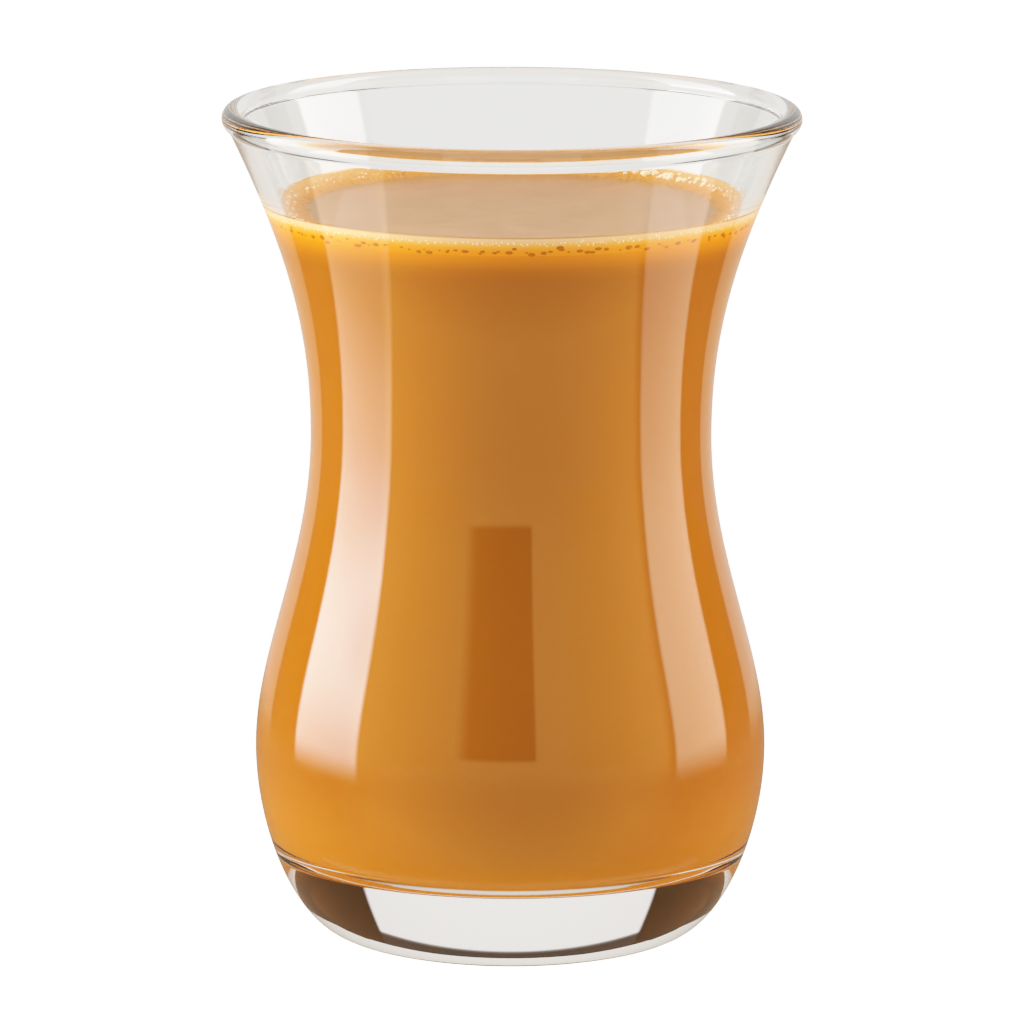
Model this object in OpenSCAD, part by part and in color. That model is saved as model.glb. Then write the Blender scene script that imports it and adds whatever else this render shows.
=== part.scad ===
// Masala chai in a waisted tea glass.
// Millimetres. The foot stands on z = 0 and the glass is round about the z axis.
// Glass, chai and froth are each one turned solid, and they meet face to face.

/* [Rim] */
// Outer diameter across the lip, the widest part of the glass
rim_d = 70; // [62:0.5:84]
// Height from the table to the top of the lip
glass_h = 101.3; // [84:0.1:122]
// Thickness of the fire-polished lip bead
lip_thick = 2.3; // [2.2:0.1:3]
// Length of the lip bead along the wall
lip_len = 3; // [2.4:0.1:4]
// Lean of the wall under the lip, in degrees from upright
lip_lean = 25.7; // [18:0.1:32]

/* [Body] */
// Outer diameter at the waist
waist_d = 48.7; // [40:0.1:59]
// Height of the waist above the table
waist_z = 61.5; // [50:0.1:74]
// Outer diameter at the belly
belly_d = 62.3; // [52:0.1:75]
// Height of the belly above the table
belly_z = 22.6; // [20:0.1:28]
// Diameter of the flat ring that the glass stands on
foot_d = 41.8; // [34:0.1:50]
// Thickness of the wall
wall = 2.1; // [1.6:0.05:2.2]

/* [Base] */
// Thickness of the solid base under the drink
base_t = 10.2; // [7:0.1:12.5]
// Radius of the round corner between floor and wall
floor_corner = 7.5; // [4:0.1:10]
// Diameter of the shallow hollow under the foot
punt_d = 34; // [24:0.5:40]
// Depth of the shallow hollow under the foot
punt_h = 1.2; // [0.5:0.1:2]

/* [Drink] */
// Distance from the top of the lip down to the surface of the chai
fill_gap = 12.1; // [8:0.1:30]
// Width of the froth collar along the wall
froth_w = 2.8; // [1.5:0.1:5]
// Height that the froth climbs the wall above the chai
froth_rise = 1.2; // [0.4:0.1:3]
// Depth of the froth collar below the surface of the chai
froth_depth = 1.6; // [0.6:0.1:3]

/* [Curves] */
// Fullness of the heel where it leaves the foot, as a share of the span outwards
heel_low = 0.45; // [0.2:0.01:0.7]
// Fullness of the heel where it reaches the belly, as a share of the height between
heel_high = 0.51; // [0.3:0.01:0.7]
// Fullness above the belly, as a share of the height up to the waist
belly_up = 0.31; // [0.2:0.01:0.5]
// Fullness below the waist, as a share of the height down to the belly
waist_down = 0.4; // [0.2:0.01:0.5]
// Fullness above the waist, as a share of the height up to the lip
waist_up = 0.32; // [0.2:0.01:0.5]
// Straightness of the wall under the lip, as a share of the height down to the waist
lip_down = 0.41; // [0.2:0.01:0.5]

/* [Hidden] */
$fn = 96;
steps = 14;      // points along each long curve
lip_steps = 12;  // points round the lip bead
froth_steps = 6; // points down the slope of the froth
halvings = 30;   // halvings of the span when a place on a curve is looked for

rim_r = rim_d / 2;
waist_r = waist_d / 2;
belly_r = belly_d / 2;
foot_r = foot_d / 2;
punt_r = punt_d / 2;
level = glass_h - fill_gap;
froth_top = level + froth_rise;
froth_floor = level - froth_depth;

// The lip bead is an ellipse whose long axis lies along the wall.
up_wall = [sin(lip_lean), cos(lip_lean)];
out_wall = [cos(lip_lean), -sin(lip_lean)];
lip_c = [
    rim_r - norm([lip_thick / 2 * out_wall[0], lip_len / 2 * up_wall[0]]),
    glass_h - norm([lip_thick / 2 * out_wall[1], lip_len / 2 * up_wall[1]])
];
function lip_point(a) =
    lip_c + lip_thick / 2 * cos(a) * out_wall + lip_len / 2 * sin(a) * up_wall;
// The wall's faces meet the bead this far round it, below its widest place.
lip_join = acos(wall / lip_thick);
neck = lip_point(-lip_join);

// Cubic curve through four control points, its direction, and its copy moved
// to the left of that direction, which is towards the drink.
function curve(p, t) =
    pow(1 - t, 3) * p[0] + 3 * pow(1 - t, 2) * t * p[1]
    + 3 * (1 - t) * t * t * p[2] + pow(t, 3) * p[3];
function slope(p, t) =
    pow(1 - t, 2) * (p[1] - p[0]) + 2 * (1 - t) * t * (p[2] - p[1])
    + t * t * (p[3] - p[2]);
function beside(p, t, d) =
    let (s = slope(p, t) / norm(slope(p, t))) curve(p, t) + d * [-s[1], s[0]];

heel = [
    [foot_r, 0],
    [foot_r + heel_low * (belly_r - foot_r), 0],
    [belly_r, belly_z * (1 - heel_high)],
    [belly_r, belly_z]
];
body = [
    [belly_r, belly_z],
    [belly_r, belly_z + belly_up * (waist_z - belly_z)],
    [waist_r, waist_z - waist_down * (waist_z - belly_z)],
    [waist_r, waist_z]
];
flare = [
    [waist_r, waist_z],
    [waist_r, waist_z + waist_up * (neck[1] - waist_z)],
    neck - lip_down * (neck[1] - waist_z) / up_wall[1] * up_wall,
    neck
];

// The floor's corner is a ball of its radius resting on the floor and against
// the wall. Its centre lies beside the heel curve, at that radius plus the wall.
function find_t(z, d, lo = 0, hi = 1, n = halvings) =
    let (mid = (lo + hi) / 2)
    n == 0 ? mid
    : beside(heel, mid, d)[1] < z ? find_t(z, d, mid, hi, n - 1)
    : find_t(z, d, lo, mid, n - 1);
corner_t = find_t(base_t + floor_corner, wall + floor_corner);
corner_c = beside(heel, corner_t, wall + floor_corner);
corner_touch = beside(heel, corner_t, wall);
corner_end = atan2(corner_touch[1] - corner_c[1], corner_touch[0] - corner_c[0]);

outer_line = concat(
    [for (i = [0 : steps - 1]) curve(heel, i / steps)],
    [for (i = [0 : steps - 1]) curve(body, i / steps)],
    [for (i = [0 : steps]) curve(flare, i / steps)]
);
lip_line = [
    for (i = [1 : lip_steps - 1]) lip_point(-lip_join + (180 + 2 * lip_join) * i / lip_steps)
];
// From the middle of the floor, round its corner and up to the lip
inner_line = concat(
    [[0, base_t]],
    [for (i = [0 : steps - 1]) let (a = -90 + (corner_end + 90) * i / steps)
        corner_c + floor_corner * [cos(a), sin(a)]],
    [for (i = [0 : steps - 1]) beside(heel, corner_t + (1 - corner_t) * i / steps, wall)],
    [for (i = [0 : steps - 1]) beside(body, i / steps, wall)],
    [for (i = [0 : steps]) beside(flare, i / steps, wall)]
);

// Radius of the inner wall at a height above the floor's corner
wall_table = [for (p = inner_line) if (p[0] > corner_c[0]) [p[1], p[0]]];
function inner_r(z) = lookup(z, wall_table);
function inner_between(low, high) =
    [for (p = inner_line) if (p[1] > low && p[1] < high) p];

// The hollow under the foot is part of a sphere.
punt_ball = (punt_r * punt_r + punt_h * punt_h) / (2 * punt_h);
punt_angle = asin(punt_r / punt_ball);
punt_line = [
    for (i = [0 : steps]) let (a = punt_angle * i / steps)
        [punt_ball * sin(a), punt_h - punt_ball * (1 - cos(a))]
];

module turned(outline) {
    rotate_extrude() polygon(outline);
}

// Clear glass: thick base, waisted wall and rounded lip in one piece
module glass() {
    reversed = [for (i = [len(inner_line) - 1 : -1 : 0]) inner_line[i]];
    color([0.93, 0.95, 0.95, 0.35]) turned(concat(punt_line, outer_line, lip_line, reversed));
}

froth_in = inner_r(froth_floor) - froth_w;

// Milky chai that fills the glass from its floor up to the level
module chai() {
    color([0.72, 0.42, 0.14]) turned(concat(
        [[0, base_t]],
        inner_between(base_t - 1, froth_floor),
        [[inner_r(froth_floor), froth_floor], [froth_in, froth_floor], [froth_in, level], [0, level]]
    ));
}

// Collar of fine froth that sits on a step of the chai and climbs the wall
module froth() {
    top_r = inner_r(froth_top);
    color([0.94, 0.76, 0.5]) turned(concat(
        [[froth_in, froth_floor], [inner_r(froth_floor), froth_floor]],
        inner_between(froth_floor, froth_top),
        [for (i = [0 : froth_steps]) let (s = i / froth_steps)
            [top_r - (top_r - froth_in) * s, level + froth_rise * pow(1 - s, 2)]]
    ));
}

glass();
chai();
froth();
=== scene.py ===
"""Looks of a glass of masala chai: a waisted tea glass, the milky chai in it and the froth at its wall."""

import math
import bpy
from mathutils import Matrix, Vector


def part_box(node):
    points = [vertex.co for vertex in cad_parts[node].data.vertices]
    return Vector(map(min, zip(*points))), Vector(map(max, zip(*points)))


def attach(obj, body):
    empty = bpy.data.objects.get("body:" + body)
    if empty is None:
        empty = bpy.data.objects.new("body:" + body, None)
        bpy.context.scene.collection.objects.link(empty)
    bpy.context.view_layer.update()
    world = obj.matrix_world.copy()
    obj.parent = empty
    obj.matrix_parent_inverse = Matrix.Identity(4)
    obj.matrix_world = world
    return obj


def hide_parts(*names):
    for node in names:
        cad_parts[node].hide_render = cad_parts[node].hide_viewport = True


bl_info = {
    "name": "Masala chai in a tea glass",
    "version": (1, 0, 0),
    "blender": (4, 5, 0),
    "location": "View3D > Sidebar > Chai",
    "description": "Makes a waisted tea glass filled with milky chai, with froth, bubbles and a small studio",
    "category": "Add Mesh",
}

import bpy
import numpy as np
from bpy.props import FloatProperty, IntProperty, PointerProperty, StringProperty
from mathutils import Matrix

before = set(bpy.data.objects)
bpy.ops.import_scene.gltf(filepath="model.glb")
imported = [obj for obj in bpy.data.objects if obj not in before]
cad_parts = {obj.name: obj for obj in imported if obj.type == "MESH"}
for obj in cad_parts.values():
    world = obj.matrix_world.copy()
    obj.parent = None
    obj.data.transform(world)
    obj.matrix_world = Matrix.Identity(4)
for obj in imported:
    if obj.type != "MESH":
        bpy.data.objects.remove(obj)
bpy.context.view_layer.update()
GLASS_LOW, GLASS_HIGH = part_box("glass")
CHAI_LOW, CHAI_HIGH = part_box("chai")
FROTH_LOW, FROTH_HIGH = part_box("froth")
MM = 0.001
GLASS_IOR = 1.52
DRINK_IOR = 1.34
SIDES = 192  # faces round the glass and the drink


# ---------------------------------------------------------------- sizes and colours


class GlassSizes(bpy.types.PropertyGroup):
    """Sizes of the tea glass; the overall ones come from the frame."""

    rim_d: FloatProperty(
        name="Rim", description="Outer diameter across the lip",
        default=GLASS_HIGH[0] - GLASS_LOW[0], unit="LENGTH"
    )
    height: FloatProperty(
        name="Height", description="From the table to the top of the lip",
        default=GLASS_HIGH[2], unit="LENGTH"
    )
    lip_thick: FloatProperty(
        name="Lip thickness", description="Thickness of the lip bead", default=2.6 * MM, unit="LENGTH"
    )
    lip_len: FloatProperty(
        name="Lip length", description="Length of the lip bead along the wall",
        default=2.7 * MM, unit="LENGTH"
    )
    neck: FloatProperty(
        name="Neck", description="Thickness of the wall just under the lip",
        default=1.95 * MM, unit="LENGTH"
    )
    lip_lean: FloatProperty(
        name="Lip lean", description="Lean of the wall under the lip",
        default=math.radians(25.7), subtype="ANGLE"
    )
    waist_d: FloatProperty(
        name="Waist", description="Outer diameter at the waist", default=48.7 * MM, unit="LENGTH"
    )
    waist_z: FloatProperty(
        name="Waist height", description="Height of the waist", default=61.5 * MM, unit="LENGTH"
    )
    belly_d: FloatProperty(
        name="Belly", description="Outer diameter at the belly", default=62.3 * MM, unit="LENGTH"
    )
    belly_z: FloatProperty(
        name="Belly height", description="Height of the belly", default=22.6 * MM, unit="LENGTH"
    )
    foot_d: FloatProperty(
        name="Foot", description="Diameter of the standing ring", default=41.8 * MM, unit="LENGTH"
    )
    wall: FloatProperty(name="Wall", description="Thickness of the wall", default=2.1 * MM, unit="LENGTH")
    base_t: FloatProperty(
        name="Base", description="Thickness of the base under the drink", default=CHAI_LOW[2], unit="LENGTH"
    )
    floor_corner: FloatProperty(
        name="Floor corner", description="Radius between floor and wall inside",
        default=7.5 * MM, unit="LENGTH"
    )
    punt_d: FloatProperty(
        name="Punt", description="Diameter of the hollow under the foot", default=34 * MM, unit="LENGTH"
    )
    punt_h: FloatProperty(
        name="Punt depth", description="Depth of that hollow", default=1.2 * MM, unit="LENGTH"
    )
    tint: StringProperty(name="Glass", description="Colour that clear glass passes", default="FFFEFB")


class ChaiSizes(bpy.types.PropertyGroup):
    """Sizes and colours of the drink."""

    level: FloatProperty(
        name="Level", description="Height of the chai's surface", default=CHAI_HIGH[2], unit="LENGTH"
    )
    reach: FloatProperty(
        name="Reach", description="How far the drink reaches into the glass wall",
        default=0.12 * MM, unit="LENGTH"
    )
    body_hex: StringProperty(
        name="Chai", description="Colour of the chai against the wall", default="A65D0D"
    )
    # painted light: this glow colour paints the light that enters the chai under the froth
    painted_glow_hex: StringProperty(
        name="Glow", description="Colour where light enters under the froth", default="FA900C"
    )
    top_hex: StringProperty(name="Surface", description="Colour of the free surface", default="A77343")
    streak_hex: StringProperty(name="Streaks", description="Colour of its darker streaks", default="A06D3B")


class FrothSizes(bpy.types.PropertyGroup):
    """Sizes and colours of the froth collar and its bubbles."""

    top: FloatProperty(
        name="Froth top", description="Where the froth ends on the wall",
        default=FROTH_HIGH[2], unit="LENGTH"
    )
    floor: FloatProperty(
        name="Froth floor", description="Underside of the collar", default=FROTH_LOW[2], unit="LENGTH"
    )
    width: FloatProperty(
        name="Froth width", description="Width of the collar", default=2.8 * MM, unit="LENGTH"
    )
    cream_hex: StringProperty(name="Cream", description="Colour of the palest froth", default="E0A050")
    gold_hex: StringProperty(name="Gold", description="Colour of the wet froth", default="D88822")
    # painted shade: the voids' dark colour paints the shade inside air pockets at the glass
    void_hex: StringProperty(
        name="Voids", description="Colour of the shaded bubbles at the glass", default="B8660A"
    )
    # painted highlight: this pale colour paints the highlights of the small bubbles at the glass and of the
    # domes
    painted_highlight_hex: StringProperty(
        name="Pearls", description="Colour of the bright small bubbles", default="FFE8B8"
    )
    pearls: IntProperty(
        name="Pearls", description="How many small bright bubbles lie at the glass", default=420
    )
    voids: IntProperty(name="Voids", description="How many shaded bubbles lie at the glass", default=190)
    domes: IntProperty(name="Domes", description="How many bubbles stand on the froth", default=330)
    lean: FloatProperty(
        name="Bubble lean", description="Lean of the bubbles at the glass",
        default=math.radians(22), subtype="ANGLE"
    )
    deep: FloatProperty(
        name="Froth reach",
        description="How many times as far as the drink the froth reaches into the wall", default=1.3
    )
    seed: IntProperty(name="Seed", description="Seed of the scattered bubbles", default=7)


class StageSettings(bpy.types.PropertyGroup):
    """The studio: softboxes, pale floor and camera."""

    camera_distance: FloatProperty(
        name="Camera distance", description="From the camera to the middle of the glass",
        default=0.9, unit="LENGTH"
    )
    camera_lift: FloatProperty(
        name="Camera elevation", description="How far the camera looks down",
        default=math.radians(11.62), subtype="ANGLE"
    )
    camera_aim: FloatProperty(
        name="Camera aim", description="Height that the camera looks at", default=51.46 * MM, unit="LENGTH"
    )
    camera_side: FloatProperty(
        name="Camera side", description="How far the camera stands to the right",
        default=0.14 * MM, unit="LENGTH"
    )
    camera_roll: FloatProperty(
        name="Camera roll", description="Roll of the camera", default=math.radians(0.166), subtype="ANGLE"
    )
    camera_lens: FloatProperty(name="Lens", description="Focal length in millimetres", default=259.9)
    softbox: FloatProperty(
        name="Softboxes", description="Brightness of the two side softboxes", default=1.0
    )
    front: FloatProperty(
        name="Front", description="Brightness of the warm room mirrored in the glass", default=1.0
    )
    floor: FloatProperty(
        name="Floor light", description="Brightness of the light that the floor sends up", default=0.65
    )
    gap_hex: StringProperty(
        name="Gap colour", description="Colour of the gaps seen through the glass", default="2E2212"
    )
    backdrop: FloatProperty(name="Backdrop", description="Brightness of the white backdrop", default=1.35)
    white: FloatProperty(name="White", description="Brightness that shows as pure white", default=2.2)
    overhead: FloatProperty(name="Overhead", description="Brightness of the overhead light", default=1.0)
    gap: FloatProperty(
        name="Gaps", description="Brightness of the dark gaps beside the backdrop", default=0.14
    )
    floor_r: FloatProperty(
        name="Floor radius", description="Radius of the pale floor", default=0.6, unit="LENGTH"
    )
    fence_r: FloatProperty(
        name="Fence radius", description="Radius of the low fence", default=75 * MM, unit="LENGTH"
    )
    fence_h: FloatProperty(
        name="Fence height", description="Height of the low fence", default=25 * MM, unit="LENGTH"
    )


# ---------------------------------------------------------------- shapes


def cubic(points, t):
    """Cubic curve through four control points at the numbers t, and its direction there."""
    p = np.asarray(points, float)
    t = np.asarray(t, float)[:, None]
    place = (1 - t) ** 3 * p[0] + 3 * (1 - t) ** 2 * t * p[1] + 3 * (1 - t) * t**2 * p[2] + t**3 * p[3]
    way = (1 - t) ** 2 * (p[1] - p[0]) + 2 * (1 - t) * t * (p[2] - p[1]) + t**2 * (p[3] - p[2])
    return place, way / np.linalg.norm(way, axis=1)[:, None]


def beside(points, t, distance):
    """The cubic curve moved sideways, to the left of its direction, by a distance."""
    place, way = cubic(points, t)
    return place + distance * np.stack([-way[:, 1], way[:, 0]], 1)


def even(line, step):
    """The same line with points an even step apart along it."""
    along = np.concatenate([[0], np.cumsum(np.linalg.norm(np.diff(line, axis=0), axis=1))])
    at = np.linspace(0, along[-1], max(3, int(round(along[-1] / step)) + 1))
    return np.stack([np.interp(at, along, line[:, 0]), np.interp(at, along, line[:, 1])], 1)


def softened(line, step, width):
    """A line that starts and ends on the axis, with its corners rounded by a bell-shaped running mean."""
    line = even(line, step)
    half = max(1, int(round(width / step)))
    bell = np.hanning(2 * half + 3)[1:-1]
    bell /= bell.sum()
    flip = np.array([-1, 1])
    longer = np.concatenate([line[half:0:-1] * flip, line, line[-2 : -half - 2 : -1] * flip])
    out = np.stack([np.convolve(longer[:, k], bell, "valid") for k in (0, 1)], 1)
    out[0, 0] = out[-1, 0] = 0
    return out


def glass_curves(g):
    """Control points of heel, body and flare, and the lip bead's centre, axes and joins."""
    up = np.array([math.sin(g.lip_lean), math.cos(g.lip_lean)])
    out = np.array([math.cos(g.lip_lean), -math.sin(g.lip_lean)])
    a, b = g.lip_thick / 2, g.lip_len / 2
    lip = np.array([
        g.rim_d / 2 - math.hypot(a * out[0], b * up[0]),
        g.height - math.hypot(a * out[1], b * up[1]),
    ])
    join = math.acos(g.neck / g.lip_thick)
    neck = lip + a * math.cos(join) * out - b * math.sin(join) * up
    foot, belly, waist = g.foot_d / 2, g.belly_d / 2, g.waist_d / 2
    heel = [(foot, 0), (foot + 0.45 * (belly - foot), 0), (belly, 0.49 * g.belly_z), (belly, g.belly_z)]
    rise = g.waist_z - g.belly_z
    body = [
        (belly, g.belly_z),
        (belly, g.belly_z + 0.31 * rise),
        (waist, g.waist_z - 0.4 * rise),
        (waist, g.waist_z),
    ]
    rise = neck[1] - g.waist_z
    flare = [(waist, g.waist_z), (waist, g.waist_z + 0.32 * rise), neck - 0.41 * rise / up[1] * up, neck]
    return heel, body, flare, (lip, a * out, b * up, join)


def outer_line(g):
    """Half section of the outside: hollow under the foot, heel, body, flare and over the lip bead."""
    heel, body, flare, (lip, a, b, join) = glass_curves(g)
    punt_r = g.punt_d / 2
    ball = (punt_r**2 + g.punt_h**2) / (2 * g.punt_h)
    turn = np.linspace(0, math.asin(punt_r / ball), 40)
    punt = np.stack([ball * np.sin(turn), g.punt_h - ball * (1 - np.cos(turn))], 1)
    t = np.linspace(0, 1, 200)
    round_lip = np.linspace(-join, math.pi + join, 60)[1:-1, None]
    bead = lip + np.cos(round_lip) * a + np.sin(round_lip) * b
    return np.concatenate([punt, cubic(heel, t)[0], cubic(body, t)[0][1:], cubic(flare, t)[0][1:], bead])


def inner_line(g):
    """Half section of the inside from the middle of the floor, round its corner and up to the lip."""
    heel, body, flare, _ = glass_curves(g)
    low, high = 0.0, 1.0
    for _ in range(30):
        middle = (low + high) / 2
        reach = beside(heel, [middle], g.wall + g.floor_corner)[0]
        low, high = (middle, high) if reach[1] < g.base_t + g.floor_corner else (low, middle)
    touch = beside(heel, [middle], g.wall)[0]
    end = math.atan2(touch[1] - reach[1], touch[0] - reach[0])
    turn = np.linspace(-math.pi / 2, end, 60)[:, None]
    corner = reach + g.floor_corner * np.concatenate([np.cos(turn), np.sin(turn)], 1)
    t = np.linspace(0, 1, 200)
    return np.concatenate([
        [[0, g.base_t]],
        corner,
        beside(heel, middle + (1 - middle) * t[1:], g.wall),
        beside(body, t[1:], g.wall),
        beside(flare, t[1:], (g.wall + (g.neck - g.wall) * t[1:] ** 6)[:, None]),
    ])


def lathe(line, sides):
    """Turned surface of a half section. A line that starts and ends on the axis is closed by fans at
    its two poles; one that stays off the axis is closed from its last point to its first."""
    angle = np.arange(sides) * 2 * math.pi / sides
    poles = line[0, 0] == 0 and line[-1, 0] == 0
    ring = line[1:-1] if poles else line
    grid = np.stack([
        ring[:, :1] * np.cos(angle),
        ring[:, :1] * np.sin(angle),
        np.repeat(ring[:, 1:], sides, 1),
    ], 2)
    rows = len(ring)
    i, j = np.meshgrid(np.arange(rows - 1 if poles else rows), np.arange(sides), indexing="ij")
    up, on = (i + 1) % rows, (j + 1) % sides
    quads = np.stack([i * sides + j, i * sides + on, up * sides + on, up * sides + j], 2).reshape(-1, 4)
    if not poles:
        return grid.reshape(-1, 3), quads, np.zeros((0, 3), int)
    points = np.concatenate([grid.reshape(-1, 3), [[0, 0, line[0, 1]], [0, 0, line[-1, 1]]]])
    first, last = rows * sides, rows * sides + 1
    j = np.arange(sides)
    on = (j + 1) % sides
    low = np.stack([np.full(sides, first), on, j], 1)
    high = np.stack([np.full(sides, last), (rows - 1) * sides + j, (rows - 1) * sides + on], 1)
    return points, quads, np.concatenate([low, high])


def waves(draw, lowest, highest, count, *grids):
    """Smooth noise: cosines with random phases summed over the grids. The first grid is an angle round
    the axis and gets whole wave numbers, so the noise closes on itself; its mean square is 1."""
    numbers = draw.integers(lowest, highest + 1, (count, 1, 1))
    total = numbers * grids[0][None] + draw.uniform(0, 2 * math.pi, (count, 1, 1))
    for grid in grids[1:]:
        total = total + draw.normal(0, 1, (count, 1, 1)) * grid[None]
    return np.cos(total).sum(0) * math.sqrt(2 / count)


def beads(centres, sizes, lean, sides=12, rows=8):
    """Ellipsoids joined in one mesh. Each has its half sizes outwards from the axis, along the ring and
    upwards, and leans outwards by an angle."""
    t = np.linspace(0, math.pi, rows + 1)
    arc = np.stack([np.sin(t), -np.cos(t)], 1)
    arc[0, 0] = arc[-1, 0] = 0
    ball, quads, triangles = lathe(arc, sides)
    angle = np.arctan2(centres[:, 1], centres[:, 0])
    level = np.zeros(len(angle))
    out = np.stack([np.cos(angle) * np.cos(lean), np.sin(angle) * np.cos(lean), -np.sin(lean) + level], 1)
    along = np.stack([-np.sin(angle), np.cos(angle), level], 1)
    frames = np.stack([out, along, np.cross(out, along)], 1)
    points = centres[:, None] + np.einsum("nvk,nkx->nvx", ball[None] * sizes[:, None], frames)
    step = np.arange(len(centres))[:, None, None] * len(ball)
    return points.reshape(-1, 3), (quads[None] + step).reshape(-1, 4), (triangles[None] + step).reshape(-1, 3)


def make_piece(name, points, quads, triangles, materials, slot, node=None, zones=None):
    """A smooth mesh object at the origin that rides on the root body, from arrays of points and faces."""
    mesh = bpy.data.meshes.new(name)
    corners = np.concatenate([quads.ravel(), triangles.ravel()]).astype(np.int32)
    sizes = np.concatenate([np.full(len(quads), 4), np.full(len(triangles), 3)])
    mesh.vertices.add(len(points))
    mesh.vertices.foreach_set("co", points.astype(np.float32).ravel())
    mesh.loops.add(len(corners))
    mesh.loops.foreach_set("vertex_index", corners)
    mesh.polygons.add(len(sizes))
    mesh.polygons.foreach_set("loop_start", np.concatenate([[0], np.cumsum(sizes)[:-1]]).astype(np.int32))
    mesh.update(calc_edges=True)
    mesh.polygons.foreach_set("use_smooth", np.ones(len(sizes), bool))
    for material in materials:
        mesh.materials.append(material)
    if zones is not None:
        mesh.polygons.foreach_set("material_index", zones.astype(np.int32))
    mesh.validate()
    piece = bpy.data.objects.new(name, mesh)
    bpy.context.scene.collection.objects.link(piece)
    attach(piece, "root")
    if node:
        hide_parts(node)
    return piece


# ---------------------------------------------------------------- materials


def linear(colour):
    """An sRGB hex colour as linear red, green, blue and alpha."""
    parts = [int(colour[i : i + 2], 16) / 255 for i in (0, 2, 4)]
    return [c / 12.92 if c <= 0.04045 else ((c + 0.055) / 1.055) ** 2.4 for c in parts] + [1.0]


def add(tree, kind, inputs=None, **settings):
    """Adds a node to a tree, with its settings, its socket values and its links."""
    made = tree.nodes.new(kind)
    for key, value in settings.items():
        setattr(made, key, value)
    for key, value in (inputs or {}).items():
        if isinstance(value, bpy.types.NodeSocket):
            tree.links.new(value, made.inputs[key])
        else:
            made.inputs[key].default_value = value
    return made


def new_material(name):
    """An empty material with its tree and its output node."""
    material = bpy.data.materials.new(name)
    material.use_nodes = True
    material.node_tree.nodes.clear()
    return material, material.node_tree, add(material.node_tree, "ShaderNodeOutputMaterial")


def ramp(tree, factor, stops):
    """A colour ramp through stops: a position, and a hex colour or the four linear values of one."""
    made = add(tree, "ShaderNodeValToRGB", {"Fac": factor})
    for _ in range(len(stops) - 2):
        made.color_ramp.elements.new(0.5)
    for element, (at, colour) in zip(made.color_ramp.elements, stops):
        element.position = at
        element.color = linear(colour) if isinstance(colour, str) else colour
    return made.outputs["Color"]


def glass_material(g):
    """Fire-polished soda-lime glass: clear, perfectly smooth, index 1.52. Lamps and scattered light
    pass it straight, so that the drink inside is lit as through a real wall."""
    material, tree, out = new_material("clear_soda_lime_glass")
    shader = add(tree, "ShaderNodeBsdfPrincipled", {
        "Base Color": linear(g.tint), "Roughness": 0.0, "IOR": GLASS_IOR, "Transmission Weight": 1.0,
    })
    clear = add(tree, "ShaderNodeBsdfTransparent", {"Color": (1, 1, 1, 1)})
    path = add(tree, "ShaderNodeLightPath")
    shown = shader
    for ray in ("Is Shadow Ray", "Is Diffuse Ray"):
        shown = add(tree, "ShaderNodeMixShader", {
            0: path.outputs[ray], 1: shown.outputs[0], 2: clear.outputs[0],
        })
    tree.links.new(shown.outputs[0], out.inputs["Surface"])
    return material


def against_glass(tree, body):
    """What wets the glass from inside: where light meets it flatly enough, the step from glass down to
    watery drink mirrors it all; elsewhere the drink itself shows."""
    fresnel = add(tree, "ShaderNodeFresnel", {"IOR": DRINK_IOR / GLASS_IOR})
    mirror = add(tree, "ShaderNodeBsdfGlossy", {"Color": (1, 1, 1, 1), "Roughness": 0.0})
    return add(tree, "ShaderNodeMixShader", {0: fresnel.outputs[0], 1: body, 2: mirror.outputs[0]}).outputs[0]


def share_of_height(tree, low, high):
    """0 at one height of the object and 1 at another."""
    where = add(tree, "ShaderNodeTexCoord").outputs["Object"]
    height = add(tree, "ShaderNodeSeparateXYZ", {0: where}).outputs["Z"]
    share = add(tree, "ShaderNodeMapRange", {"Value": height, "From Min": low, "From Max": high})
    return share.outputs["Result"]


def distance_from_axis(tree, where):
    """How far a place on the object lies from its upright axis."""
    flat = add(tree, "ShaderNodeVectorMath", {0: where, 1: (1, 1, 0)}, operation="MULTIPLY").outputs[0]
    return add(tree, "ShaderNodeVectorMath", {0: flat}, operation="LENGTH").outputs["Value"]


def chai_wall_material(c):
    """Milky tea against the glass: a dense scattering liquid, evenly coloured in the middle. Its colour also
    holds painted light: a painted glow near its top, where light enters under the froth, and a paler band
    painted low down, over the bright base."""
    material, tree, out = new_material("milky_chai_at_glass")
    # painted light: the colour turns paler towards the bottom, over the bright base, and glows orange towards
    # the top, where light enters under the froth
    colour = ramp(tree, share_of_height(tree, 0, c.level), [
        (0.11, "BA6E16"), (0.25, c.body_hex), (0.952, c.body_hex),
        (0.966, "B6660A"), (0.977, "D2760A"), (0.987, "EA840A"), (0.994, c.painted_glow_hex),
    ])
    body = add(tree, "ShaderNodeBsdfPrincipled", {
        "Base Color": colour, "Roughness": 0.5, "IOR": DRINK_IOR, "Specular IOR Level": 0.0,
        "Subsurface Weight": 0.4, "Subsurface Radius": (1.0, 0.5, 0.25), "Subsurface Scale": MM,
    })
    tree.links.new(against_glass(tree, body.outputs[0]), out.inputs["Surface"])
    return material


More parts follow.
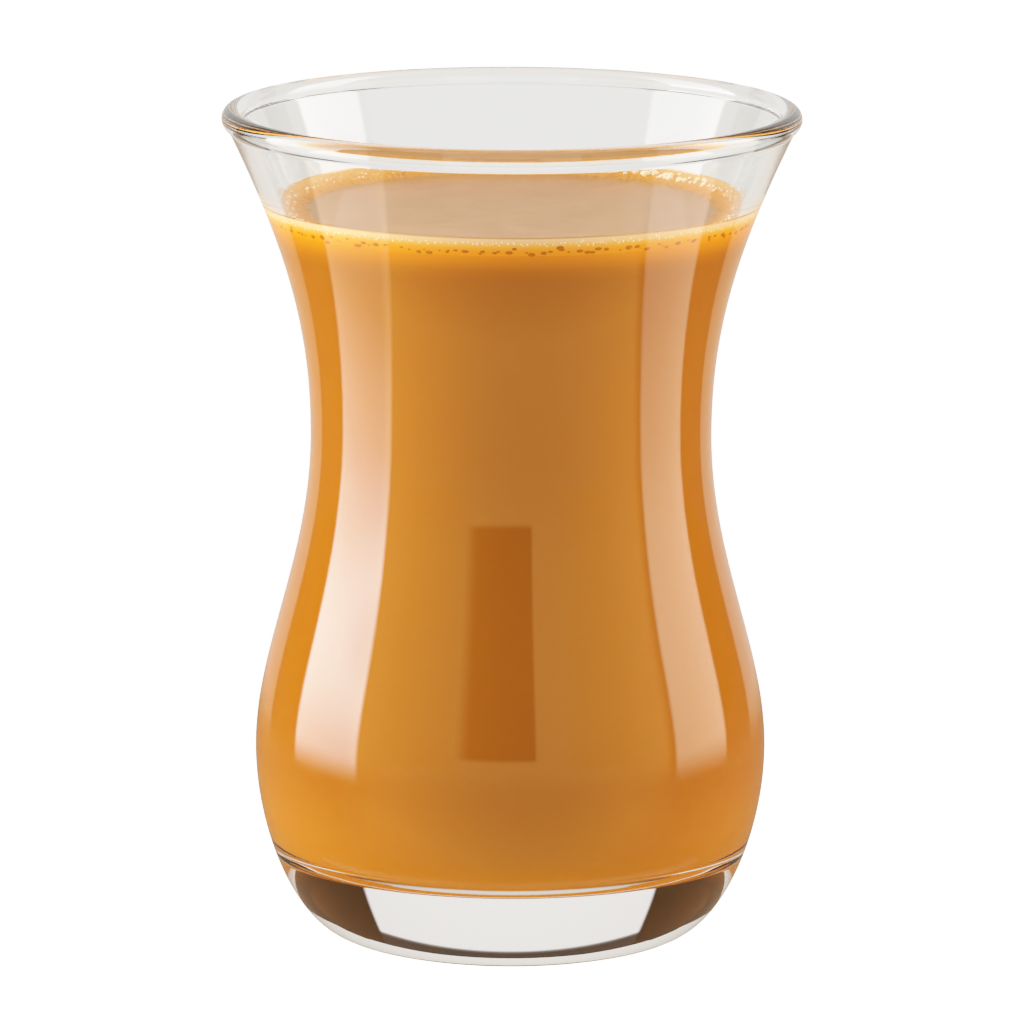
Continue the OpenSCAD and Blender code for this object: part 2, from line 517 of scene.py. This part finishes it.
def chai_top_material(c):
    """The chai's free surface: wet milky tea, mirror-smooth, with faint streaks of milk skin. Towards the
    back its colour is tinted more golden: a painted reflection of the froth and the far wall."""
    material, tree, out = new_material("milky_chai_surface")
    where = add(tree, "ShaderNodeTexCoord").outputs["Object"]
    patches = add(tree, "ShaderNodeTexNoise", {
        "Vector": where, "Scale": 120.0, "Detail": 4.0, "Roughness": 0.55, "Distortion": 0.8,
    })
    streaks = ramp(tree, patches.outputs["Fac"], [(0.3, c.streak_hex), (0.47, c.top_hex), (0.7, "AF7B4B")])
    # painted reflection: from front to back the surface is tinted more golden, as if the froth and the far
    # wall were mirrored in it
    depth = add(tree, "ShaderNodeSeparateXYZ", {0: where}).outputs["Y"]
    front_to_back = add(tree, "ShaderNodeMapRange", {"Value": depth, "From Min": -26 * MM, "From Max": 26 * MM})
    painted_reflection_tint = ramp(tree, front_to_back.outputs["Result"], [(0.15, "FFFFFF"), (0.5, "F3F0E2"), (0.85, "F7E3C4")])
    colour = add(tree, "ShaderNodeVectorMath", {0: streaks, 1: painted_reflection_tint}, operation="MULTIPLY").outputs[0]
    shader = add(tree, "ShaderNodeBsdfPrincipled", {
        "Base Color": colour, "Roughness": 0.15, "IOR": DRINK_IOR, "Specular IOR Level": 0.02,
        "Subsurface Weight": 0.5, "Subsurface Radius": (1.5, 0.8, 0.4), "Subsurface Scale": MM,
    })
    tree.links.new(shader.outputs[0], out.inputs["Surface"])
    return material


def froth_wall_material(f):
    """Wet milk froth pressed against the glass: cream at its drained top, golden below, and a fine
    brown line where its last film ends on the wall."""
    material, tree, out = new_material("milk_froth_at_glass")
    colour = ramp(tree, share_of_height(tree, f.floor, f.top), [
        (0.0, "FA8A08"), (0.16, "F88A0A"), (0.34, "F88E14"), (0.5, "FC9C28"),
        (0.64, "FFB04C"), (0.78, "FFC482"), (0.92, "FFCC94"), (0.96, "DCA468"),
    ])
    body = add(tree, "ShaderNodeBsdfPrincipled", {
        "Base Color": colour, "Roughness": 0.5, "IOR": DRINK_IOR, "Specular IOR Level": 0.0,
    })
    tree.links.new(against_glass(tree, body.outputs[0]), out.inputs["Surface"])
    return material


def froth_top_material(f, inner):
    """The froth's free surface: cream at the wall, wet and golden towards the chai."""
    material, tree, out = new_material("milk_froth_surface")
    where = add(tree, "ShaderNodeTexCoord").outputs["Object"]
    share = add(tree, "ShaderNodeMapRange", {
        "Value": distance_from_axis(tree, where), "From Min": inner, "From Max": inner + 4 * MM,
    })
    fine = add(tree, "ShaderNodeTexNoise", {"Vector": where, "Scale": 900.0, "Detail": 2.0})
    shift = add(tree, "ShaderNodeMath", {0: fine.outputs["Fac"], 1: 0.35, 2: -0.17}, operation="MULTIPLY_ADD")
    at = add(tree, "ShaderNodeMath", {0: share.outputs["Result"], 1: shift.outputs[0]}, operation="ADD")
    colour = ramp(tree, at.outputs[0], [
        (0.0, "AE7434"), (0.25, "C87C20"), (0.55, f.gold_hex), (0.9, f.cream_hex),
    ])
    shader = add(tree, "ShaderNodeBsdfPrincipled", {
        "Base Color": colour, "Roughness": 0.16, "IOR": DRINK_IOR, "Specular IOR Level": 0.1,
    })
    tree.links.new(shader.outputs[0], out.inputs["Surface"])
    return material


def bubble_material(name, colour, roughness, shine):
    """Small bubbles of milk film: smooth and wet. Those sunk in the froth at the glass have little shine.
    Their colour is given: pale ones carry a painted highlight, dark ones painted shade.
    """
    material, tree, out = new_material(name)
    shader = add(tree, "ShaderNodeBsdfPrincipled", {
        "Base Color": linear(colour), "Roughness": roughness, "IOR": DRINK_IOR, "Specular IOR Level": shine,
    })
    tree.links.new(shader.outputs[0], out.inputs["Surface"])
    return material


# ---------------------------------------------------------------- operators


class CHAI_OT_glass(bpy.types.Operator):
    """Makes the tea glass: one turned surface with base, waist, flare and lip bead"""

    bl_idname = "chai.glass"
    bl_label = "Tea glass"

    def execute(self, context):
        g = context.scene.chai_glass
        line = np.concatenate([outer_line(g), inner_line(g)[::-1]])
        # near the lip corners are rounded less and every point is kept, elsewhere one point in six
        step = 0.12 * MM
        crisp, mellow = softened(line, step, 0.34 * MM), softened(line, step, 0.45 * MM)
        near_lip = np.clip((crisp[:, 1:] - g.height + 8 * MM) / (3 * MM), 0, 1)
        line = mellow + near_lip * (crisp - mellow)
        kept = (np.arange(len(line)) % 6 == 0) | (line[:, 1] > g.height - 5 * MM)
        kept[-1] = True
        points, quads, triangles = lathe(line[kept], SIDES)
        make_piece("tea_glass", points, quads, triangles, [glass_material(g)], "clear_glass", "glass")
        return {"FINISHED"}


class CHAI_OT_chai(bpy.types.Operator):
    """Makes the milky chai, which reaches just into the wall of the glass"""

    bl_idname = "chai.chai"
    bl_label = "Chai"

    def execute(self, context):
        g, c = context.scene.chai_glass, context.scene.chai_drink
        inside = even(inner_line(g), 0.4 * MM)
        way = np.gradient(inside, axis=0)
        way /= np.linalg.norm(way, axis=1)[:, None]
        inside = inside + c.reach * np.stack([way[:, 1], -way[:, 0]], 1)
        inside[0, 0] = 0
        side = inside[inside[:, 1] < c.level - 0.3 * MM]
        edge = np.interp(c.level, inside[:, 1], inside[:, 0])
        top = np.stack([np.linspace(edge, 0, 90), np.full(90, c.level)], 1)
        line = np.concatenate([side, top])
        points, quads, triangles = lathe(line, SIDES)
        zones = np.concatenate([
            (np.arange(len(quads)) // SIDES >= len(side) - 1).astype(int),
            np.repeat([0, 1], SIDES),
        ])
        materials = [chai_wall_material(c), chai_top_material(c)]
        make_piece("chai_drink", points, quads, triangles, materials, "milky_chai", "chai", zones)
        return {"FINISHED"}


class CHAI_OT_froth(bpy.types.Operator):
    """Makes the froth collar that climbs the wall: a parabola in section, with an uneven inner edge,
    fine radial ridges and a lumpy top"""

    bl_idname = "chai.froth"
    bl_label = "Froth collar"

    def execute(self, context):
        g, c, f = context.scene.chai_glass, context.scene.chai_drink, context.scene.chai_froth
        draw = np.random.default_rng(f.seed)
        inside = inner_line(g)
        rows = np.linspace(f.floor, f.top, 16)
        reach = np.interp(rows, [f.floor, f.floor + 0.7 * MM], [0.6 * c.reach, f.deep * c.reach])
        wall = np.interp(rows, inside[:, 1], inside[:, 0]) + reach
        start = np.interp(f.floor, inside[:, 1], inside[:, 0]) - f.width
        s = np.linspace(0, 1, 34)[1:]
        slope = np.stack([wall[-1] - (wall[-1] - start) * s, c.level + (f.top - c.level) * (1 - s) ** 2], 1)
        line = np.concatenate([np.stack([wall, rows], 1), slope, [[start, f.floor]]])
        sides = 1080
        points, quads, triangles = lathe(line, sides)
        grid = points.reshape(len(line), sides, 3)
        angle = np.arange(sides)[None] * 2 * math.pi / sides
        across = s[:, None]
        part = grid[len(wall) : -1]
        wander = waves(draw, 3, 40, 24, angle)[0] * 0.22 * MM
        shift = wander * across**2 / start
        part[:, :, :2] *= (1 + shift)[:, :, None]
        lumps = waves(draw, 60, 240, 60, angle, across * 14) * 0.05 * MM
        lumps *= np.sin(math.pi * across) ** 0.5
        ridges = waves(draw, 200, 330, 30, angle, across * 2) * 0.035 * MM
        ridges *= np.clip(across * 2 - 0.5, 0, 1)
        part[:, :, 2] += lumps + ridges * (1 - across**6)
        zones = (np.arange(len(quads)) // sides >= len(wall) - 1).astype(int)
        materials = [froth_wall_material(f), froth_top_material(f, start)]
        points = grid.reshape(-1, 3)
        make_piece("froth_collar", points, quads, triangles, materials, "milk_froth", "froth", zones)
        return {"FINISHED"}


class CHAI_OT_bubbles(bpy.types.Operator):
    """Makes the froth's bubbles: a row at the glass whose dark colour is painted shade, a row of bright small
    ones at the glass whose pale colour is a painted highlight, and domes on the collar that are largest on
    one side, pale partly as a painted highlight"""

    bl_idname = "chai.bubbles"
    bl_label = "Bubbles"

    def execute(self, context):
        g, c, f = context.scene.chai_glass, context.scene.chai_drink, context.scene.chai_froth
        draw = np.random.default_rng(f.seed + 1)
        inside = inner_line(g)
        surface = f.deep * c.reach

        def on_wall(angle, height, depth):
            radius = np.interp(height, inside[:, 1], inside[:, 0]) + depth
            return np.stack([radius * np.cos(angle), radius * np.sin(angle), height], 1)

        def round_ring(count, jitter):
            return (np.arange(count) + draw.uniform(-jitter, jitter, count)) * 2 * math.pi / count

        # painted shade: the voids are dark ellipsoids that paint the shade of air pockets at the glass
        lean = np.full(f.voids, f.lean)
        angle = round_ring(f.voids, 0.6)
        size = draw.gamma(3, 0.1, f.voids).clip(0.1, 0.5) * MM
        height = f.floor + 1.0 * MM + draw.normal(0, 0.17, f.voids) * MM
        sizes = np.stack([np.full(f.voids, 0.12 * MM), size, size * draw.uniform(0.5, 0.75, f.voids)], 1)
        make_piece(
            "froth_voids", *beads(on_wall(angle, height, surface - 0.06 * MM), sizes, lean),
            [bubble_material("shaded_bubbles", f.void_hex, 0.3, 0.0)], "milk_froth",
        )

        # painted highlight: these small pale beads at the glass stand for the highlights of bubbles pressed
        # on it
        lean = np.full(f.pearls, f.lean)
        angle = round_ring(f.pearls, 0.9)
        size = draw.uniform(0.07, 0.17, f.pearls) * MM
        height = f.floor + 2.0 * MM + draw.normal(0, 0.14, f.pearls) * MM
        sizes = np.stack([np.full(f.pearls, 0.1 * MM), size, size], 1)
        make_piece(
            "froth_pearls", *beads(on_wall(angle, height, surface - 0.04 * MM), sizes, lean, 8, 6),
            [bubble_material("bright_bubbles", f.painted_highlight_hex, 0.1, 0.2)], "milk_froth",
        )

        # the domes' pale colour is partly a painted highlight; their gloss is real
        angle = round_ring(f.domes, 1.6)
        coarse = np.exp(-((np.degrees(angle) - 55) / 32) ** 2)
        small = 0.08 + 0.14 * draw.uniform(0, 1, f.domes) ** 2
        size = (small + 0.45 * coarse * draw.uniform(0.15, 1, f.domes)) * MM
        top_r = np.interp(f.top, inside[:, 1], inside[:, 0])
        away = (0.5 + 1.3 * draw.uniform(0, 1, f.domes)) * MM
        share = 1 - away / (f.width + 0.9 * MM)
        height = c.level + (f.top - c.level) * share**2 + 0.1 * size
        centres = np.stack([(top_r - away) * np.cos(angle), (top_r - away) * np.sin(angle), height], 1)
        sizes = np.stack([size, size * draw.uniform(0.9, 1.3, f.domes), size * 0.8], 1)
        make_piece(
            "froth_domes", *beads(centres, sizes, np.zeros(f.domes), 16, 10),
            [bubble_material("standing_bubbles", f.painted_highlight_hex, 0.08, 0.5)], "milk_froth",
        )
        return {"FINISHED"}


def band(tree, angle, low, high, soft):
    """1 where an angle lies between low and high degrees, falling to 0 over edges as soft as given."""
    steps = []
    for at, way in ((low, 1), (high, -1)):
        steps.append(add(tree, "ShaderNodeMapRange", {
            "Value": angle,
            "From Min": math.radians(at - way * soft / 2),
            "From Max": math.radians(at + way * soft / 2),
        }, interpolation_type="SMOOTHSTEP").outputs[0])
    return chain(tree, "MULTIPLY", *steps)


def chain(tree, operation, *values):
    """A chain of one arithmetic operation over sockets or numbers."""
    total = values[0]
    for value in values[1:]:
        total = add(tree, "ShaderNodeMath", {0: total, 1: value}, operation=operation).outputs[0]
    return total


def by_height(tree, lift, steps):
    """Light along the elevation, through (degrees, brightness, warmth) steps: a warmth of 0 is white
    light and of 1 is amber."""
    top = max(level for _, level, _ in steps)
    share = add(tree, "ShaderNodeMapRange", {
        "Value": lift, "From Min": -math.pi / 2, "From Max": math.pi / 2,
    })
    stops = []
    for degrees, level, warm in steps:
        red = level / top
        stops.append(((degrees + 90) / 180, (red, red * (1 - 0.43 * warm), red * (1 - 0.83 * warm), 1)))
    return scaled(tree, ramp(tree, share.outputs["Result"], stops), top)


def scaled(tree, colour, *shares):
    """A colour times the product of shares."""
    share = chain(tree, "MULTIPLY", *shares)
    return add(tree, "ShaderNodeVectorMath", {0: colour, "Scale": share}, operation="SCALE").outputs[0]


def together(tree, *colours):
    """The sum of colours."""
    total = colours[0]
    for colour in colours[1:]:
        total = add(tree, "ShaderNodeVectorMath", {0: total, 1: colour}, operation="ADD").outputs[0]
    return total


def studio_world(s):
    """Light round the glass by direction: a white backdrop behind, dark gaps beside it, a tall softbox
    at each side, a room in front with a dark doorway, and an overhead light. The softboxes also shine
    from below the table's level, as they do mirrored in a glossy table. The room lights scattering
    things softly and white, and is warm and bright where it is mirrored. What is seen straight through
    the glass is the white backdrop with its dark gaps, from whichever side. Azimuths count from the
    front, to the right, and every angle is in degrees."""
    world = bpy.data.worlds.new("studio")
    bpy.context.scene.world = world
    world.use_nodes = True
    tree = world.node_tree
    tree.nodes.clear()
    way = add(tree, "ShaderNodeSeparateXYZ", {0: add(tree, "ShaderNodeTexCoord").outputs["Generated"]})
    front = chain(tree, "MULTIPLY", way.outputs["Y"], -1.0)
    azimuth = chain(tree, "ARCTAN2", way.outputs["X"], front)
    turn = add(tree, "ShaderNodeMath", {0: azimuth}, operation="ABSOLUTE").outputs[0]
    lift = add(tree, "ShaderNodeMath", {0: way.outputs["Z"]}, operation="ARCSINE").outputs[0]

    backdrop = by_height(tree, lift, [
        (-90, 0.45, 0.5), (-14, 0.6, 0.5), (6, 0.75, 0), (24, 0.7, 0), (26, 0.3, 0), (60, 0.2, 0),
    ])
    backdrop = scaled(tree, backdrop, band(tree, turn, 140, 200, 4), s.backdrop)
    left = by_height(tree, lift, [
        (-60, 1.4, 0.7), (-33, 3.1, 0.6), (-13, 6.3, 0.35), (-1, 9.8, 0.15),
        (8, 15, 0.05), (20, 9, 0), (50, 5, 0), (60, 1, 0),
    ])
    left = scaled(tree, left, band(tree, azimuth, -113, -73, 3), s.softbox)
    right = by_height(tree, lift, [
        (-60, 1.5, 0.4), (-33, 2.7, 0.4), (-13, 4.0, 0.45), (-1, 5.3, 0.45),
        (10, 6, 0.45), (20, 10, 0.1), (50, 8, 0), (60, 1, 0),
    ])
    right = scaled(tree, right, band(tree, azimuth, 80, 114, 3), s.softbox)
    above = chain(tree, "MULTIPLY", band(tree, lift, 62, 120, 30), s.overhead)
    dim = (s.gap, 0.8 * s.gap, 0.55 * s.gap)
    common = together(tree, backdrop, left, right, scaled(tree, (1, 1, 1), above), dim)

    # the doorway is soft at its left and crisp at its right
    doorway = chain(
        tree, "MULTIPLY",
        band(tree, azimuth, -22, 50, 9), band(tree, azimuth, -90, 11.5, 2), band(tree, lift, 1.9, 22, 1.6),
    )
    open_wall = chain(tree, "SUBTRACT", 1.0, doorway)
    room = chain(tree, "MULTIPLY", band(tree, turn, -20, 77, 8), band(tree, lift, -125, 60, 30), open_wall)
    mirrored_room = by_height(tree, lift, [
        (-90, 0.2, 0.3), (-54, 0.2, 0.3), (-36, 2.6, 1), (-12, 2.4, 1),
        (8, 2.85, 1), (19, 2.85, 1), (26, 1, 0), (60, 1, 0),
    ])
    mirrored_room = scaled(tree, mirrored_room, room, s.front)
    soft_room = by_height(tree, lift, [(-90, 0.38, 0), (19, 0.38, 0), (26, 0.9, 0), (60, 0.9, 0)])
    soft_room = scaled(tree, soft_room, room)
    floor = by_height(tree, lift, [(-90, s.floor, 0), (-8, s.floor, 0), (4, 0, 0), (60, 0, 0)])

    # a quarter turn that repeats, so that every side has its backdrop and its gaps
    quarter = chain(tree, "PINGPONG", turn, math.pi / 2)
    gaps = band(tree, quarter, 28.5, 62, 1.2)
    through = by_height(tree, lift, [(-90, 0.85, 0), (23.3, 0.9, 0), (24.0, 0.04, 0.3), (60, 0.03, 0.3)])
    through = scaled(tree, through, chain(tree, "SUBTRACT", 1.0, gaps), s.backdrop)
    brown = scaled(tree, linear(s.gap_hex)[:3], gaps)

    path = add(tree, "ShaderNodeLightPath")
    shown = add(tree, "ShaderNodeBackground", {"Color": together(tree, common, soft_room, floor)})
    for ray, light in (
        ("Is Glossy Ray", together(tree, common, mirrored_room)),
        ("Is Transmission Ray", together(tree, through, brown)),
        ("Is Camera Ray", (s.white, s.white, s.white, 1)),
    ):
        light = add(tree, "ShaderNodeBackground", {"Color": light})
        shown = add(tree, "ShaderNodeMixShader", {
            0: path.outputs[ray], 1: shown.outputs[0], 2: light.outputs[0],
        })
    out = add(tree, "ShaderNodeOutputWorld")
    tree.links.new(shown.outputs[0], out.inputs["Surface"])


def stage_piece(name, points, faces, look):
    """A stage piece that shows its own light: look(tree, place) gives how solid it is and its colour."""
    mesh = bpy.data.meshes.new(name)
    mesh.from_pydata(points.tolist(), [], faces)
    material, tree, out = new_material(name)
    solid, colour = look(tree, add(tree, "ShaderNodeTexCoord").outputs["Object"])
    glow = add(tree, "ShaderNodeEmission", {"Color": colour, "Strength": 1.0})
    clear = add(tree, "ShaderNodeBsdfTransparent", {"Color": (1, 1, 1, 1)})
    mix = add(tree, "ShaderNodeMixShader", {0: solid, 1: clear.outputs[0], 2: glow.outputs[0]})
    tree.links.new(mix.outputs[0], out.inputs["Surface"])
    mesh.materials.append(material)
    piece = bpy.data.objects.new(name, mesh)
    bpy.context.scene.collection.objects.link(piece)
    piece.visible_diffuse = piece.visible_shadow = False
    return piece


def blended(tree, share, first, second):
    """The first colour, turning to the second as the share goes to 1."""
    return add(tree, "ShaderNodeMix", {0: share, 6: first, 7: second}, data_type="RGBA").outputs[2]


def pale_floor(s):
    """A pale floor, and round the glass a low fence that glows amber in front and pale brown behind. It
    only shows mirrored in the glass: it hides the softboxes' lower ends from the heel of the glass, as
    the near table top does."""
    posts = 96
    turn = np.linspace(0, 2 * math.pi, posts + 1)[:-1]
    circle = np.stack([np.cos(turn), np.sin(turn), np.zeros(posts)], 1)
    under = (0, 0, -0.1 * MM)
    disc = [tuple(range(posts))]

    def white_table(tree, where):
        """White to the eye. Through the glass a brown ring of shade shows under its heel."""
        radius = distance_from_axis(tree, where)
        share = add(tree, "ShaderNodeMapRange", {"Value": radius, "From Max": 40 * MM}).outputs[0]
        shade = ramp(tree, share, [(0.45, "D8D4CE"), (0.5, "6A4A28"), (0.58, "7A5A38"), (0.64, "F4F2EE")])
        shade = scaled(tree, shade, 0.95 * s.backdrop)
        seen = add(tree, "ShaderNodeLightPath").outputs["Is Camera Ray"]
        return 1.0, blended(tree, seen, shade, (s.white, s.white, s.white, 1))

    floor = stage_piece("floor", s.floor_r * circle + under, disc, white_table)
    floor.visible_glossy = False

    def fading(tree, where):
        """Solid up to half the fence's height, then fading to nothing at its top."""
        place = add(tree, "ShaderNodeSeparateXYZ", {0: where})
        solid = add(tree, "ShaderNodeMapRange", {
            "Value": place.outputs["Z"], "From Min": s.fence_h, "From Max": 0.5 * s.fence_h,
        }, interpolation_type="SMOOTHSTEP").outputs[0]
        behind = add(tree, "ShaderNodeMapRange", {
            "Value": place.outputs["Y"], "From Min": -0.75 * s.fence_r, "From Max": -0.3 * s.fence_r,
        }, interpolation_type="SMOOTHSTEP").outputs[0]
        amber = (2.2 * s.front, 1.25 * s.front, 0.4 * s.front, 1)
        return solid, blended(tree, behind, amber, (0.4, 0.3, 0.2, 1))

    at = np.arange(posts)
    on = (at + 1) % posts
    sides = np.stack([at, on, on + posts, at + posts], 1).tolist()
    rings = np.concatenate([s.fence_r * circle + under, s.fence_r * circle + (0, 0, s.fence_h)])
    fence = stage_piece("fence", rings, disc + sides, fading)
    fence.visible_camera = fence.visible_transmission = False


def soft_whites(view, white):
    """Film-like rendering of bright tones: true up to a third of white, then ever flatter up to white."""
    view.use_curve_mapping = True
    mapping = view.curve_mapping
    mapping.white_level = (white, white, white)
    curve = mapping.curves[3]
    curve.points[1].location = (1, 1)
    for bright, shown in ((0.18, 0.18), (0.35, 0.35), (0.6, 0.53), (0.88, 0.69), (1.3, 0.86)):
        curve.points.new(bright / white, shown)
    mapping.update()


class CHAI_OT_stage(bpy.types.Operator):
    """Sets up the camera, the pale floor, the softboxes and the studio round them"""

    bl_idname = "chai.stage"
    bl_label = "Stage"

    def execute(self, context):
        s = context.scene.chai_stage
        scene = context.scene
        camera = bpy.data.cameras.new("camera")
        camera.lens = s.camera_lens
        camera.sensor_width = 36
        camera.clip_start = 0.05
        view = bpy.data.objects.new("camera", camera)
        scene.collection.objects.link(view)
        flat = s.camera_distance * math.cos(s.camera_lift)
        view.location = (s.camera_side, -flat, s.camera_aim + s.camera_distance * math.sin(s.camera_lift))
        tilt = Matrix.Rotation(math.pi / 2 - s.camera_lift, 3, "X")
        view.rotation_euler = (tilt @ Matrix.Rotation(s.camera_roll, 3, "Z")).to_euler()
        scene.camera = view
        scene.view_settings.view_transform = "Standard"
        scene.view_settings.look = "None"
        soft_whites(scene.view_settings, s.white)
        scene.cycles.caustics_reflective = False
        scene.cycles.caustics_refractive = False
        scene.cycles.max_bounces = 16
        scene.cycles.transmission_bounces = 14
        scene.cycles.glossy_bounces = 8
        scene.cycles.blur_glossy = 0.0
        studio_world(s)
        pale_floor(s)
        return {"FINISHED"}


class CHAI_PT_panel(bpy.types.Panel):
    """Sizes, colours and buttons for the glass of chai"""

    bl_idname = "CHAI_PT_panel"
    bl_label = "Masala chai"
    bl_space_type = "VIEW_3D"
    bl_region_type = "UI"
    bl_category = "Chai"

    def draw(self, context):
        for group in GROUPS:
            box = self.layout.box()
            box.label(text=GROUPS[group].__doc__.split(":")[0].rstrip("."))
            for key in GROUPS[group].__annotations__:
                box.prop(getattr(context.scene, group), key)
        for operator in OPERATORS:
            self.layout.operator(operator.bl_idname)


GROUPS = {
    "chai_glass": GlassSizes,
    "chai_drink": ChaiSizes,
    "chai_froth": FrothSizes,
    "chai_stage": StageSettings,
}
OPERATORS = (CHAI_OT_stage, CHAI_OT_glass, CHAI_OT_chai, CHAI_OT_froth, CHAI_OT_bubbles)


def register():
    for name, group in GROUPS.items():
        bpy.utils.register_class(group)
        setattr(bpy.types.Scene, name, PointerProperty(type=group))
    for part in (*OPERATORS, CHAI_PT_panel):
        bpy.utils.register_class(part)


def unregister():
    for part in (CHAI_PT_panel, *reversed(OPERATORS)):
        bpy.utils.unregister_class(part)
    for name, group in GROUPS.items():
        delattr(bpy.types.Scene, name)
        bpy.utils.unregister_class(group)


def main():
    """Registers the add-on and makes every piece."""
    register()
    for operator in OPERATORS:
        group, name = operator.bl_idname.split(".")
        getattr(getattr(bpy.ops, group), name)()


if __name__ == "__main__":
    main()
